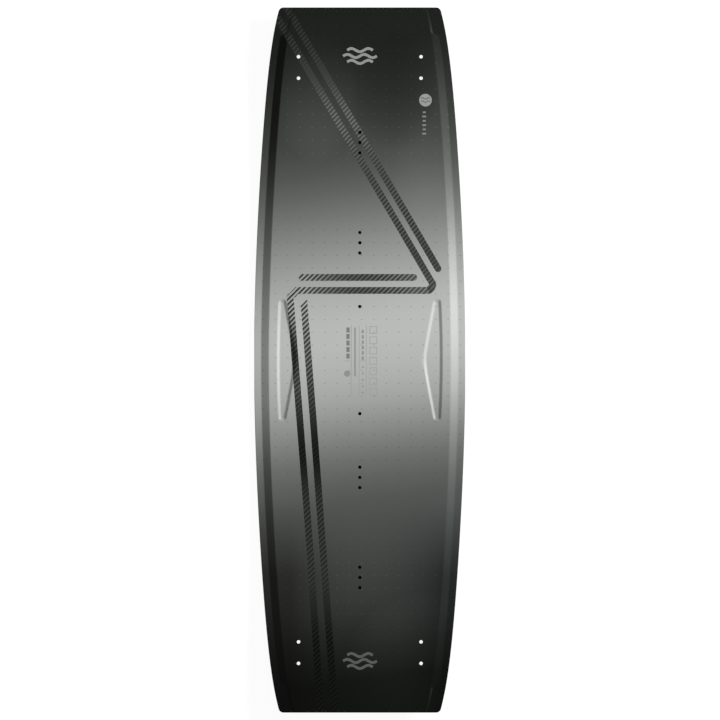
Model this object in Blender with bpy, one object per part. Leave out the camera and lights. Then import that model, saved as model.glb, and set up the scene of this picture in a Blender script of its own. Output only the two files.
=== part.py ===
"""Twin-tip kiteboard: the bare board, ready for its fins, foot pads and grab handle.

A wood-cored laminate, built as a sandwich. From the deck down: printed topsheet, deck
laminate, a core of nine wood stringers with plastic blocks let into it for the threaded
inserts and the fin bolts, base laminate and base sheet. Rails of ABS close the edge.

Frame, in metres: +X across the board, +Y towards the nose, +Z up through the deck. The
origin is under the middle of the board, on the surface that the base rests on.
"""

import math

import bmesh
import bpy

# ---- Driving dimensions: plan -------------------------------------------------------
LENGTH = 1.380
WIDTH = 0.415
SIDECUT = 0.0391  # half-width lost at the tip to the long curve of the side
SIDECUT_POWER = 1.8
TIP_PULL = 0.0115  # half-width lost at the tip to the quick turn-in there
TIP_PULL_POWER = 11
CORNER_RADIUS = 0.010

# ---- Driving dimensions: side view and section --------------------------------------
TIP_RISE = 0.036  # rocker
FLAT_HALF = 0.060  # the base is straight this far each way from the middle
RAIL_THICKNESS = 0.0075
RAIL_TAPER = 0.0020  # thinner by this at the tips
RAIL_WIDTH = 0.014
DECK_STEP = 0.0055  # the deck stands this far above the rail
TIP_STEP = 0.0006  # and this far at the tips
BAND_WIDTH = 0.015  # the slope between the rail and the deck
TIP_BAND_WIDTH = 0.004
BAND_ENDS = 0.634  # the slope narrows from here
TIP_BAND_FROM = 0.641  # to here
HULL_CONCAVE = 0.0015
CONCAVE_HALF = 0.150
CONCAVE_FULL_TO = 0.390
CONCAVE_GONE_AT = 0.530

# ---- Driving dimensions: layers -----------------------------------------------------
SHEET = 0.0004
LAMINATE = 0.0006
GAP = 0.0003  # bond line between two pieces
STRINGER_EDGES = (0.020, 0.060, 0.100, 0.140)
TIP_RAIL_FROM = 0.647

# ---- Driving dimensions: grip recesses in the deck ----------------------------------
GRIP_OUTER_X = 0.1603
GRIP_OUTER_BOW = 0.0017
GRIP_HALF_LENGTH = 0.119
GRIP_WIDTH = 0.0333
GRIP_TAPER = 0.2  # width lost per length, away from the middle
GRIP_APEX_ROUND = 0.016
GRIP_DEPTH = 0.0030
GRIP_WALL = 0.0048  # width of the sloping wall in plan

# ---- Driving dimensions: fastenings -------------------------------------------------
PAD_PLACES = (0.230, 0.426)
PAD_PITCH = 0.020
HANDLE_PLACE = 0.105
DECK_HOLE_RADIUS = 0.0034
INSERT_HEIGHT = 0.0050
INSERT_BORE_RADIUS = 0.0031
INSERT_BODY_RADIUS = 0.0045
INSERT_FLANGE_RADIUS = 0.0062
INSERT_FLANGE = 0.0010
INSERT_BLOCK_RADIUS = 0.012
FIN_X = 0.120
FIN_PLACE = 0.573
FIN_PITCH = 0.042
FIN_HOLE_RADIUS = 0.0035
FIN_BLOCK_RADIUS = 0.011
ROUND_SIDES = 12

# ---- Worked out from them -----------------------------------------------------------
HALF_LENGTH = LENGTH / 2
CORE_DEPTH = SHEET + LAMINATE + 2 * GAP  # from either outer surface to the core
CORE_END = HALF_LENGTH - RAIL_WIDTH
CLEAR = 0.060  # cutters run on this far past the board
ENDS = (("nose", 1), ("tail", -1))
SIDES = (("left", -1), ("right", 1))

# ---- Places along half the board where its section is drawn -------------------------
# Each group of fastenings lies between two of them, on a straight run of the deck.
HALF_STATIONS = (FLAT_HALF, 0.160, 0.266, 0.330, 0.390, 0.464, 0.530, 0.616)
TIP_STATIONS = (BAND_ENDS, TIP_BAND_FROM, 0.660)
CORNER_STEPS = 4


# ---- The shape, as functions of place -----------------------------------------------
def waist_half(y):
    """Half-width of the outline, before its corners are rounded."""
    t = abs(y) / HALF_LENGTH
    return WIDTH / 2 - SIDECUT * t**SIDECUT_POWER - TIP_PULL * t**TIP_PULL_POWER


CORNER_Y = HALF_LENGTH - CORNER_RADIUS
CORNER_LEAN = math.atan((waist_half(CORNER_Y) - waist_half(HALF_LENGTH)) / CORNER_RADIUS)
TANGENT_Y = CORNER_Y + CORNER_RADIUS * math.sin(CORNER_LEAN)
CORNER_X = waist_half(TANGENT_Y) - CORNER_RADIUS * math.cos(CORNER_LEAN)


def edge_half(y):
    """Half-width of the outline, with its corners rounded."""
    if abs(y) <= TANGENT_Y:
        return waist_half(y)
    return CORNER_X + math.sqrt(max(CORNER_RADIUS**2 - (abs(y) - CORNER_Y) ** 2, 0.0))


def rail_inner(y):
    """Half-width to the inner face of the rail."""
    return waist_half(y) - RAIL_WIDTH


def rocker(y):
    """Height of the base along the board, leaving out its concave."""
    past = max(0.0, abs(y) - FLAT_HALF) / (HALF_LENGTH - FLAT_HALF)
    return TIP_RISE * past**2


def rail_top(y):
    """Height of the topsheet over the rails."""
    return rocker(y) + RAIL_THICKNESS - RAIL_TAPER * (y / HALF_LENGTH) ** 2


def deck_step(y):
    """How far the deck stands above the rail."""
    return TIP_STEP + (DECK_STEP - TIP_STEP) * (1 - min(1.0, abs(y) / HALF_LENGTH) ** 3)


def crease_in(y):
    """Half-width of the raised deck."""
    return waist_half(y) - RAIL_WIDTH - BAND_WIDTH


def crease_out(y):
    """Half-width at the foot of the slope down from the deck."""
    along = (abs(y) - BAND_ENDS) / (TIP_BAND_FROM - BAND_ENDS)
    return crease_in(y) + BAND_WIDTH - (BAND_WIDTH - TIP_BAND_WIDTH) * min(1.0, max(0.0, along))


def deck_z(x, y):
    """Height of the deck's surface, leaving out the grip recesses."""
    share = (crease_out(y) - abs(x)) / (crease_out(y) - crease_in(y))
    return rail_top(y) + deck_step(y) * min(1.0, max(0.0, share))


def base_z(x, y):
    """Height of the base's surface."""
    left = (CONCAVE_GONE_AT - abs(y)) / (CONCAVE_GONE_AT - CONCAVE_FULL_TO)
    across = max(0.0, 1 - (x / CONCAVE_HALF) ** 2)
    return rocker(y) + HULL_CONCAVE * across * min(1.0, max(0.0, left))


def mirrored(half):
    """The negatives of some values, then the values, in rising order."""
    return [-v for v in reversed(half)] + list(half)


def stations(end=HALF_LENGTH):
    """Places along the board where its section is drawn, from -end to end."""
    turns = [CORNER_LEAN + (math.pi / 2 - CORNER_LEAN) * i / CORNER_STEPS for i in range(CORNER_STEPS)]
    corner = [CORNER_Y + CORNER_RADIUS * math.sin(turn) for turn in turns]
    return mirrored([*HALF_STATIONS, *TIP_STATIONS, *corner, end])


def faceted_deck_z(y):
    """Height of the deck's middle, which runs straight between two stations."""
    places = stations()
    after = next(i for i, place in enumerate(places) if place > y)
    low, high = places[after - 1], places[after]
    share = (y - low) / (high - low)
    return (1 - share) * deck_z(0, low) + share * deck_z(0, high)


# ---- Mesh tools ---------------------------------------------------------------------
def new_object(name, bm, material=None):
    """The bmesh as an object, its faces turned outwards. Without a material, a cutter."""
    bmesh.ops.recalc_face_normals(bm, faces=bm.faces)
    mesh = bpy.data.meshes.new(name)
    bm.to_mesh(mesh)
    bm.free()
    obj = bpy.data.objects.new(name, mesh)
    bpy.context.scene.collection.objects.link(obj)
    if material is None:
        obj.hide_render = True
        obj.display_type = "WIRE"
    else:
        mesh.materials.append(material)
    return obj


def lofted(name, places, top, bottom, material=None):
    """A closed body. top(y) and bottom(y) list (x, z) from -X to +X, and share their end x."""
    bm = bmesh.new()
    tops = [[bm.verts.new((x, y, z)) for x, z in top(y)] for y in places]
    bottoms = [[bm.verts.new((x, y, z)) for x, z in bottom(y)] for y in places]
    for rows in (tops, bottoms):
        for here, ahead in zip(rows, rows[1:]):
            for j in range(len(here) - 1):
                bm.faces.new((here[j], here[j + 1], ahead[j + 1]))
                bm.faces.new((here[j], ahead[j + 1], ahead[j]))
    for i in range(len(places) - 1):
        for end in (0, -1):
            bm.faces.new((tops[i][end], tops[i + 1][end], bottoms[i + 1][end], bottoms[i][end]))
    for end in (0, -1):
        bm.faces.new(bottoms[end] + tops[end][::-1])
    return new_object(name, bm, material)


def add_stack(bm, rings):
    """Adds a closed body through rings of as many points each, from the lowest ring up."""
    rows = [[bm.verts.new(p) for p in ring] for ring in rings]
    count = len(rows[0])
    for low, high in zip(rows, rows[1:]):
        for i in range(count):
            j = (i + 1) % count
            bm.faces.new((low[i], low[j], high[j], high[i]))
    bm.faces.new(rows[0][::-1])
    bm.faces.new(rows[-1])


def prism_rings(plan, low=-CLEAR, high=CLEAR + TIP_RISE):
    """Two rings that carry a plan outline from one height to another."""
    return [[(x, y, z) for x, y in plan] for z in (low, high)]


def cutter(name, bodies):
    """One cutter made of several bodies, each given as its rings."""
    bm = bmesh.new()
    for rings in bodies:
        add_stack(bm, rings)
    return new_object(name, bm)


def boolean(obj, other, operation="DIFFERENCE"):
    modifier = obj.modifiers.new(other.name, "BOOLEAN")
    modifier.operation = operation
    modifier.solver = "EXACT"
    modifier.object = other


# ---- Plan outlines ------------------------------------------------------------------
def round_plan(x, y, radius):
    """A circle, with a corner on each diagonal."""
    turns = [2 * math.pi * (i + 0.5) / ROUND_SIDES for i in range(ROUND_SIDES)]
    return [(x + radius * math.cos(turn), y + radius * math.sin(turn)) for turn in turns]


def slot_plan(x, y, radius, straight):
    """A slot along Y, its round ends' middles straight each way from its own middle."""
    outline = []
    for px, py in round_plan(0.0, 0.0, radius):
        outline.append((x + px, y + py + math.copysign(straight, py)))
    return outline


def strip_plan(inner, outer):
    """A strip of the core, between two lines given as functions of y."""
    end = CORE_END - GAP
    places = [y for y in stations() if abs(y) < end - GAP]
    places = [-end, *places, end]
    return [(inner(y), y) for y in places] + [(outer(y), y) for y in reversed(places)]


def band_plan(x_low, x_high):
    """A straight strip of the core."""
    end = CORE_END - GAP
    return [(x_low, -end), (x_high, -end), (x_high, end), (x_low, end)]


def grip_plan(side, inset):
    """The outline of a grip recess, drawn in by inset."""
    end_radius = 0.5 * (GRIP_WIDTH - GRIP_TAPER * (GRIP_HALF_LENGTH - 0.5 * GRIP_APEX_ROUND - GRIP_WIDTH / 4))
    straight = GRIP_HALF_LENGTH - end_radius

    def outer(y):
        return GRIP_OUTER_X - GRIP_OUTER_BOW * (y / GRIP_HALF_LENGTH) ** 2

    def width(y):
        return GRIP_WIDTH - GRIP_TAPER * (math.hypot(y, GRIP_APEX_ROUND) - GRIP_APEX_ROUND)

    along = mirrored([0.008, 0.018, 0.035, 0.065, straight])
    inner_line = [(outer(y) - width(y) + inset, y) for y in along]
    outer_line = [(outer(y) - inset, y) for y in mirrored([0.045, straight])][::-1]
    middle = outer(straight) - 0.5 * width(straight)
    half = 0.5 * width(straight) - inset
    cap = [(middle - half * math.cos(a), half * math.sin(a)) for a in (math.pi * i / 5 for i in range(1, 5))]
    nose_cap = [(x, straight + y) for x, y in cap]
    tail_cap = [(x, -straight - y) for x, y in reversed(cap)]
    plan = inner_line + nose_cap + outer_line + tail_cap
    return [(side * x, y) for x, y in plan][::side]


def grip_rings(side, depth):
    """The recess as a cutter, all of it lowered by depth."""
    floor = deck_z(0.0, 0.0) - GRIP_DEPTH - depth
    wall_slope = GRIP_WALL / GRIP_DEPTH
    rings = []
    for above in (0.0, GRIP_DEPTH + 0.002):
        inset = GRIP_WALL - above * wall_slope
        rings.append([(x, y, floor + above) for x, y in grip_plan(side, inset)])
    return rings


# ---- Sections -----------------------------------------------------------------------
def deck_row(depth, inset=0.0):
    """The deck's section as a function of y, depth below its surface."""

    def row(y):
        edge = edge_half(y) - inset
        return [(x, deck_z(x, y) - depth) for x in mirrored([crease_in(y), crease_out(y), edge])]

    return row


def base_row(height):
    """The base's section as a function of y, height above its surface."""

    def row(y):
        edge = edge_half(y)
        half = [0.035, 0.085, min(CONCAVE_HALF, edge - 0.010), edge]
        return [(x, base_z(x, y) + height) for x in mirrored(half)]

    return row


# ---- Materials ----------------------------------------------------------------------
def material(name, colour, roughness, metallic=0.0):
    made = bpy.data.materials.new(name)
    made.use_nodes = True
    shader = made.node_tree.nodes["Principled BSDF"]
    shader.inputs["Base Color"].default_value = (*colour, 1.0)
    shader.inputs["Roughness"].default_value = roughness
    shader.inputs["Metallic"].default_value = metallic
    return made


# ---- Start from an empty scene ------------------------------------------------------
for old in list(bpy.data.objects):
    bpy.data.objects.remove(old)

# ---- Where the fastenings are -------------------------------------------------------
pad_groups = [
    (f"{row}_{end}", sign * place)
    for end, sign in ENDS
    for row, place in zip(("inner", "outer"), PAD_PLACES)
]
handle_places = [(end, sign * HANDLE_PLACE) for end, sign in ENDS]
fin_places = [
    (f"{end}_{side}", across * FIN_X, along * FIN_PLACE)
    for end, along in ENDS
    for side, across in SIDES
]
insert_ys = [y + PAD_PITCH * i for _, y in pad_groups for i in (-1, 0, 1)]
insert_ys += [y for _, y in handle_places]
fin_holes = [(x, y + FIN_PITCH * half) for _, x, y in fin_places for half in (-0.5, 0.5)]

# ---- Cutters ------------------------------------------------------------------------
fin_hole_cutter = cutter(
    "cut_fin_holes",
    [prism_rings(round_plan(x, y, FIN_HOLE_RADIUS)) for x, y in fin_holes],
)
deck_hole_cutter = cutter(
    "cut_deck_holes",
    [prism_rings(round_plan(0.0, y, DECK_HOLE_RADIUS)) for y in insert_ys],
)


def grip_cutter(depth):
    return cutter(f"cut_grips_{depth * 1e4:.0f}", [grip_rings(side, depth) for _, side in SIDES])


def under_deck(depth):
    """Fills all that is more than depth below the deck, to cut a layer to its thickness."""

    def low_row(y):
        edge = edge_half(y) + 0.005
        return [(x, -CLEAR) for x in mirrored([crease_in(y), crease_out(y), edge])]

    places = stations(HALF_LENGTH + 0.005)
    body = lofted(f"cut_under_{depth * 1e4:.0f}", places, deck_row(depth, -0.005), low_row)
    boolean(body, grip_cutter(depth))
    return body


# ---- Deck layers: each dips into the grip recesses ----------------------------------
def deck_layer(name, depth, thickness, finish):
    deep = depth + thickness + GRIP_DEPTH + 0.0015
    layer = lofted(name, stations(), deck_row(depth), deck_row(deep), finish)
    boolean(layer, under_deck(depth + thickness))
    boolean(layer, grip_cutter(depth))
    boolean(layer, deck_hole_cutter)
    boolean(layer, fin_hole_cutter)


glass = material("glass_laminate", (0.62, 0.66, 0.58), 0.35)
deck_layer("topsheet", 0.0, SHEET, material("printed_topsheet", (0.20, 0.21, 0.205), 0.38))
deck_layer("deck_laminate", SHEET + GAP, LAMINATE, glass)

# ---- Base layers --------------------------------------------------------------------
base_finish = material("base_sheet", (0.045, 0.047, 0.048), 0.32)
for name, height, thickness, finish in (
    ("base_laminate", SHEET + GAP, LAMINATE, glass),
    ("base_sheet", 0.0, SHEET, base_finish),
):
    layer = lofted(name, stations(), base_row(height + thickness), base_row(height), finish)
    boolean(layer, fin_hole_cutter)


# ---- Core and rails: cut from one filling between the laminates ---------------------
def filling(name, plan, finish):
    """All that lies between the laminates and inside a plan outline."""
    body = lofted(name, stations(), deck_row(CORE_DEPTH), base_row(CORE_DEPTH), finish)
    boolean(body, cutter(f"keep_{name}", [prism_rings(plan)]), "INTERSECT")
    return body


wood = material("paulownia", (0.72, 0.58, 0.40), 0.62)
abs_black = material("abs_rail", (0.028, 0.029, 0.030), 0.42)
block_plastic = material("block_plastic", (0.66, 0.60, 0.47), 0.50)
steel = material("stainless_steel", (0.60, 0.60, 0.58), 0.30, 1.0)

core_grips = grip_cutter(CORE_DEPTH)
block_pockets = []
for _, y in pad_groups:
    block_pockets.append(slot_plan(0.0, y, INSERT_BLOCK_RADIUS + GAP, PAD_PITCH))
for _, y in handle_places:
    block_pockets.append(round_plan(0.0, y, INSERT_BLOCK_RADIUS + GAP))
centre = filling("stringer_centre", band_plan(-STRINGER_EDGES[0], STRINGER_EDGES[0]), wood)
boolean(centre, cutter("cut_block_pockets", [prism_rings(plan) for plan in block_pockets]))

for side_name, side in SIDES:
    fin_pockets = [
        prism_rings(slot_plan(x, y, FIN_BLOCK_RADIUS + GAP, FIN_PITCH / 2))
        for _, x, y in fin_places
        if x * side > 0
    ]
    fin_pocket_cutter = cutter(f"cut_fin_pockets_{side_name}", fin_pockets)
    for number in (1, 2, 3, 4):
        near = STRINGER_EDGES[number - 1] + GAP
        if number < 4:
            x_low, x_high = sorted((side * near, side * STRINGER_EDGES[number]))
            plan = band_plan(x_low, x_high)
        else:
            plan = strip_plan(lambda y: side * near, lambda y: side * (rail_inner(y) - GAP))
        stringer = filling(f"stringer_{side_name}_{number}", plan, wood)
        if number in (3, 4):
            boolean(stringer, core_grips)
        if number == 3:
            boolean(stringer, fin_pocket_cutter)

for side_name, side in SIDES:
    places = [y for y in stations() if abs(y) < TIP_RAIL_FROM - GAP]
    places = [-TIP_RAIL_FROM, *places, TIP_RAIL_FROM]
    outside = side * (WIDTH / 2 + CLEAR)
    plan = [(side * rail_inner(y), y) for y in places]
    plan += [(outside, TIP_RAIL_FROM), (outside, -TIP_RAIL_FROM)]
    filling(f"rail_{side_name}", plan, abs_black)

for end_name, end in ENDS:
    places = [TIP_RAIL_FROM + GAP, 0.660, CORE_END]
    inner = [(rail_inner(y), y) for y in places]
    arch = [(-x, y) for x, y in inner] + inner[::-1]
    outside = WIDTH / 2
    plan = [*arch, (outside, places[0]), (outside, HALF_LENGTH + CLEAR)]
    plan += [(-outside, HALF_LENGTH + CLEAR), (-outside, places[0])]
    filling(f"rail_{end_name}", [(x, end * y) for x, y in plan], abs_black)

# ---- Threaded inserts, and the blocks that hold them and the fin bolts --------------
def insert_top(y):
    """Height of an insert's flange, clear of the deck laminate on its lower side."""
    lower = min(faceted_deck_z(y - INSERT_FLANGE_RADIUS), faceted_deck_z(y + INSERT_FLANGE_RADIUS))
    return lower - CORE_DEPTH


def threaded_insert(name, y):
    """A flanged bush. Its M6 thread is drawn as a plain bore at the thread's outer size."""
    top = insert_top(y)
    profile = (
        (INSERT_BORE_RADIUS, top),
        (INSERT_BORE_RADIUS, top - INSERT_HEIGHT),
        (INSERT_BODY_RADIUS, top - INSERT_HEIGHT),
        (INSERT_BODY_RADIUS, top - INSERT_FLANGE),
        (INSERT_FLANGE_RADIUS, top - INSERT_FLANGE),
        (INSERT_FLANGE_RADIUS, top),
    )
    bm = bmesh.new()
    rings = [[bm.verts.new((px, py, z)) for px, py in round_plan(0.0, y, r)] for r, z in profile]
    for ring, following in zip(rings, rings[1:] + rings[:1]):
        for i in range(ROUND_SIDES):
            j = (i + 1) % ROUND_SIDES
            bm.faces.new((ring[i], following[i], following[j], ring[j]))
    new_object(name, bm, steel)


def insert_pocket(y):
    """The rings of a stepped pocket for one insert, from its floor up."""
    top = insert_top(y)
    step_z = top - INSERT_FLANGE - GAP
    levels = (
        (INSERT_BODY_RADIUS + GAP, top - INSERT_HEIGHT - GAP),
        (INSERT_BODY_RADIUS + GAP, step_z),
        (INSERT_FLANGE_RADIUS + GAP, step_z),
        (INSERT_FLANGE_RADIUS + GAP, top + CLEAR),
    )
    return [[(px, py, z) for px, py in round_plan(0.0, y, r)] for r, z in levels]


for name, y in pad_groups:
    block = filling(f"pad_block_{name}", slot_plan(0.0, y, INSERT_BLOCK_RADIUS, PAD_PITCH), block_plastic)
    spots = [y + PAD_PITCH * i for i in (-1, 0, 1)]
    boolean(block, cutter(f"cut_inserts_{name}", [insert_pocket(spot) for spot in spots]))
    for number, spot in enumerate(spots, 1):
        threaded_insert(f"pad_insert_{name}_{number}", spot)

for name, y in handle_places:
    block = filling(f"handle_block_{name}", round_plan(0.0, y, INSERT_BLOCK_RADIUS), block_plastic)
    boolean(block, cutter(f"cut_insert_handle_{name}", [insert_pocket(y)]))
    threaded_insert(f"handle_insert_{name}", y)

for name, x, y in fin_places:
    block = filling(f"fin_block_{name}", slot_plan(x, y, FIN_BLOCK_RADIUS, FIN_PITCH / 2), block_plastic)
    boolean(block, fin_hole_cutter)
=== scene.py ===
import math

import bmesh
import bpy
import numpy as np
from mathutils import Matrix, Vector


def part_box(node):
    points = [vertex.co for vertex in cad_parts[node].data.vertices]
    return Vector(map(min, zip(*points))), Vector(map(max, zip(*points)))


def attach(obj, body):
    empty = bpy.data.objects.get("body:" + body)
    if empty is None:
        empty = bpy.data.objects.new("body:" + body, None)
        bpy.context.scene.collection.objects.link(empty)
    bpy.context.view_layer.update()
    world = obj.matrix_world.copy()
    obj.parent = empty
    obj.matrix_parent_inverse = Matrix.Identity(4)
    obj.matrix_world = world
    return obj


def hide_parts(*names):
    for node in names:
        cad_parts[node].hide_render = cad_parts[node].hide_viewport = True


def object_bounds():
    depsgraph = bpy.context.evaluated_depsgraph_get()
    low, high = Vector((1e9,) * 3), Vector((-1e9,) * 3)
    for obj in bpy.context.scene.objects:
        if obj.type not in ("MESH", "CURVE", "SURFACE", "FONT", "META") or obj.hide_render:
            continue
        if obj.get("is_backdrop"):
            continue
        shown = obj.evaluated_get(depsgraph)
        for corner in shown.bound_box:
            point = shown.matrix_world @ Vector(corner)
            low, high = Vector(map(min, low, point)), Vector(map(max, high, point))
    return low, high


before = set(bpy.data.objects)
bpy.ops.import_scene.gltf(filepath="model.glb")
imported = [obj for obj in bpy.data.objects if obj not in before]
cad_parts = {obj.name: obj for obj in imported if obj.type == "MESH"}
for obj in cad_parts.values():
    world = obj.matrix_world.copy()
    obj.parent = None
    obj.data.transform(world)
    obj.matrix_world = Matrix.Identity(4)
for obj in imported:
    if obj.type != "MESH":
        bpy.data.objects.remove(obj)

cad_low, cad_high = (Vector(corner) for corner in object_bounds())

# ---- The board's shape, in metres ----------------------------------------------------
# The CAD's surfaces, drawn smooth. Only the grip recesses differ: they have the photo's
# width, which is 2 mm more than the CAD's on each side.
LENGTH, WIDTH = 1.380, 0.415
HALF_LENGTH = LENGTH / 2
SIDECUT, SIDECUT_POWER = 0.0391, 1.8
TIP_PULL, TIP_PULL_POWER = 0.0115, 11
CORNER_RADIUS = 0.010
TIP_RISE, FLAT_HALF = 0.036, 0.060
RAIL_THICKNESS, RAIL_TAPER, RAIL_WIDTH = 0.0075, 0.0020, 0.014
DECK_STEP, TIP_STEP = 0.0055, 0.0006
BAND_WIDTH, TIP_BAND_WIDTH = 0.015, 0.004
BAND_ENDS, TIP_BAND_FROM = 0.634, 0.641
HULL_CONCAVE, CONCAVE_HALF = 0.0015, 0.150
CONCAVE_FULL_TO, CONCAVE_GONE_AT = 0.390, 0.530
SHEET, LAMINATE, GAP = 0.0004, 0.0006, 0.0003
CORE_DEPTH = SHEET + LAMINATE + 2 * GAP  # from a face to the core
TIP_RAIL_FROM = 0.647
GRIP_OUTER_X, GRIP_OUTER_BOW, GRIP_HALF_LENGTH = 0.1626, 0.0034, 0.119
GRIP_INNER_X, GRIP_TAPER, GRIP_APEX_ROUND = 0.1248, 0.19, 0.016
GRIP_DEPTH, GRIP_WALL, GRIP_CORNER = 0.0030, 0.0056, 0.0060
PAD_PLACES, PAD_PITCH, HANDLE_PLACE = (0.230, 0.426), 0.020, 0.105
FIN_X, FIN_PLACE, FIN_PITCH = 0.120, 0.573, 0.042
DECK_HOLE_RADIUS, FIN_HOLE_RADIUS = 0.0034, 0.0035
BOX_CLEARANCE = 0.0001
MAX_HALF = cad_high.x - BOX_CLEARANCE
FOLD_EASE, GRIP_EASE = 0.07, 0.12  # how far the deck's folds are rounded, as a share


def waist_half(y):
    t = np.abs(y) / HALF_LENGTH
    return WIDTH / 2 - SIDECUT * t**SIDECUT_POWER - TIP_PULL * t**TIP_PULL_POWER


CORNER_Y = HALF_LENGTH - CORNER_RADIUS
CORNER_LEAN = math.atan((waist_half(CORNER_Y) - waist_half(HALF_LENGTH)) / CORNER_RADIUS)
TANGENT_Y = CORNER_Y + CORNER_RADIUS * math.sin(CORNER_LEAN)
CORNER_X = waist_half(TANGENT_Y) - CORNER_RADIUS * math.cos(CORNER_LEAN)


def edge_half(y):
    y = np.abs(y)
    turn = np.sqrt(np.maximum(CORNER_RADIUS**2 - (y - CORNER_Y) ** 2, 0.0))
    return np.minimum(np.where(y <= TANGENT_Y, waist_half(y), CORNER_X + turn), MAX_HALF)


def rocker(y):
    past = np.maximum(0.0, np.abs(y) - FLAT_HALF) / (HALF_LENGTH - FLAT_HALF)
    return TIP_RISE * past**2


def crease_in(y):
    return waist_half(y) - RAIL_WIDTH - BAND_WIDTH


def crease_out(y):
    along = np.clip((np.abs(y) - BAND_ENDS) / (TIP_BAND_FROM - BAND_ENDS), 0.0, 1.0)
    return crease_in(y) + BAND_WIDTH - (BAND_WIDTH - TIP_BAND_WIDTH) * along


def eased(s, k):
    """A ramp from 0 to 1 whose two corners are rounded over k."""
    def corner(v):
        return np.where(v <= -k, 0.0, np.where(v >= k, v, (v + k) ** 2 / (4 * k)))
    return corner(s) - corner(s - 1)


def grip_edges(y):
    outer = GRIP_OUTER_X - GRIP_OUTER_BOW * (y / GRIP_HALF_LENGTH) ** 2
    return GRIP_INNER_X + GRIP_TAPER * (np.hypot(y, GRIP_APEX_ROUND) - GRIP_APEX_ROUND), outer


def grip_inside(x, y):
    """Distance in from the edge of a grip recess, less than 0 outside it."""
    x, y = np.abs(x), np.abs(y)
    inner, outer = grip_edges(np.minimum(y, GRIP_HALF_LENGTH))
    beside = np.minimum(outer - x, (x - inner) * 0.98)
    ahead = GRIP_HALF_LENGTH - y
    corner = GRIP_CORNER - np.hypot(GRIP_CORNER - beside, GRIP_CORNER - ahead)
    in_corner = (beside < GRIP_CORNER) & (ahead < GRIP_CORNER)
    return np.where(in_corner, corner, np.minimum(beside, ahead))


def deck_z(x, y):
    """Height of the deck's surface."""
    t = np.minimum(np.abs(y) / HALF_LENGTH, 1.0)
    top = rocker(y) + RAIL_THICKNESS - RAIL_TAPER * t**2
    rise = TIP_STEP + (DECK_STEP - TIP_STEP) * (1 - t**3)
    share = (crease_out(y) - np.abs(x)) / (crease_out(y) - crease_in(y))
    z = top + rise * eased(share, FOLD_EASE)
    return z - GRIP_DEPTH * eased(grip_inside(x, y) / GRIP_WALL, GRIP_EASE)


def base_z(x, y):
    """Height of the base's surface."""
    left = (CONCAVE_GONE_AT - np.abs(y)) / (CONCAVE_GONE_AT - CONCAVE_FULL_TO)
    across = np.maximum(0.0, 1 - (x / CONCAVE_HALF) ** 2)
    return rocker(y) + HULL_CONCAVE * across * np.clip(left, 0.0, 1.0)


# ---- Places of the fastenings --------------------------------------------------------
insert_ys = [s * p + PAD_PITCH * i for s in (1, -1) for p in PAD_PLACES for i in (-1, 0, 1)]
insert_ys += [HANDLE_PLACE, -HANDLE_PLACE]
fin_holes = [
    (sx * FIN_X, sy * FIN_PLACE + FIN_PITCH * h)
    for sx in (-1, 1) for sy in (-1, 1) for h in (-0.5, 0.5)
]
deck_holes = [(0.0, y, DECK_HOLE_RADIUS) for y in insert_ys]
through_holes = [(x, y, FIN_HOLE_RADIUS) for x, y in fin_holes]
all_holes = deck_holes + through_holes


# ---- Mesh tools ----------------------------------------------------------------------
HOLE_CELL = 0.005  # half the square of the grid that each hole replaces
CELL_REACH = HOLE_CELL + 1e-5
FINE_ROWS_TO, ROWS_TO = 0.123, 0.676
FINE_ROW_STEP, ROW_STEP, ROW_CLEARANCE = 0.0015, 0.0035, 0.0006
CORNER_STEPS, GRIP_COLUMNS, BASE_COLUMNS = 9, 52, 8
EDGE_ROUND, EDGE_DROP = 0.0012, 0.35
RING_STEP, RING_SHARES = 0.0017, (0.45, 0.9, 1.0)


def add_object(name, data):
    obj = bpy.data.objects.new(name, data)
    bpy.context.scene.collection.objects.link(obj)
    return obj


def make_piece(name, bm, material, sharp_degrees=35):
    bmesh.ops.recalc_face_normals(bm, faces=bm.faces)
    mesh = bpy.data.meshes.new(name)
    bm.to_mesh(mesh)
    bm.free()
    for polygon in mesh.polygons:
        polygon.use_smooth = True
    mesh.set_sharp_from_angle(angle=math.radians(sharp_degrees))
    mesh.materials.append(material)
    obj = add_object(name, mesh)
    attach(obj, "root")
    return obj


def drawn_rows():
    """Places along the board for the rows of the fine meshes, with lines beside each hole."""
    needed = [0.0, BAND_ENDS, TIP_BAND_FROM, GRIP_HALF_LENGTH, TANGENT_Y, HALF_LENGTH]
    needed += [BAND_ENDS - 0.002, TIP_BAND_FROM + 0.002, 0.6375]
    hole_ys = {round(abs(y), 6) for _, y, _ in all_holes}
    for y in hole_ys:
        needed += [y - HOLE_CELL, y + HOLE_CELL]
    lean_left = math.pi / 2 - CORNER_LEAN
    turns = [CORNER_LEAN + lean_left * i / CORNER_STEPS for i in range(1, CORNER_STEPS)]
    needed += [CORNER_Y + CORNER_RADIUS * math.sin(turn) for turn in turns]
    needed = sorted(set(needed))
    spread = [*np.arange(0.0, FINE_ROWS_TO, FINE_ROW_STEP)]
    spread += [*np.arange(FINE_ROWS_TO, ROWS_TO, ROW_STEP)]
    rows = [y for y in spread if min(abs(y - n) for n in needed) > ROW_CLEARANCE]
    half = sorted([*rows, *needed])
    return np.array([-y for y in reversed(half) if y > 0] + half)


def rim_columns(edge):
    return [edge - inset for inset in (0.0009, 0.0006, 0.0003, 0.0001)] + [edge]


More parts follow.
